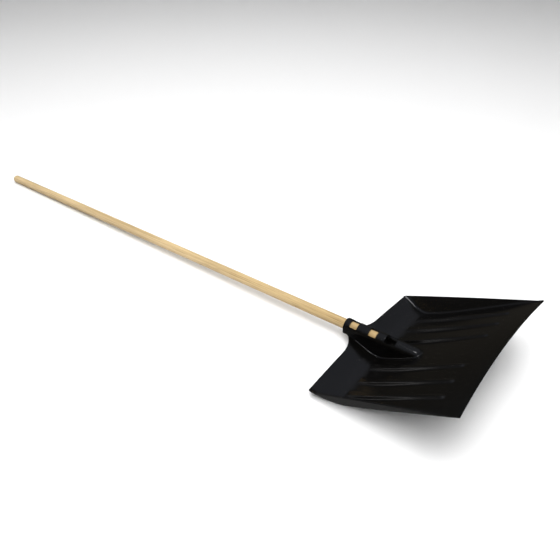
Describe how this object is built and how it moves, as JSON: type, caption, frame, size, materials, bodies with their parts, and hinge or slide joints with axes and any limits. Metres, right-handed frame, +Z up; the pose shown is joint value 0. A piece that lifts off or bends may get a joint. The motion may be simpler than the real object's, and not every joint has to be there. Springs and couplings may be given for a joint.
{
  "type": "snow shovel",
  "caption": "Straight-handled snow shovel: shallow ribbed black plastic scoop with a slotted socket, on a tapered round pine shaft.",
  "frame": {"origin": "on the ground under the middle of the shovel's bounding box, the shovel lying on the rear corner of its scoop and on the tip of its shaft", "axes": "+X across the scoop, +Y forward from the shaft tip to the cutting edge, +Z up"},
  "size_m": [0.473, 1.8438, 0.1721],
  "materials": {
    "black_plastic": "satin moulded",
    "pine": "sanded, unvarnished",
    "zinc_steel": "zinc plated"
  },
  "bodies": {
    "root": {"scoop": "black_plastic", "wooden_shaft": "pine", "fixing_screw": "zinc_steel"}
  },
  "joints": []
}
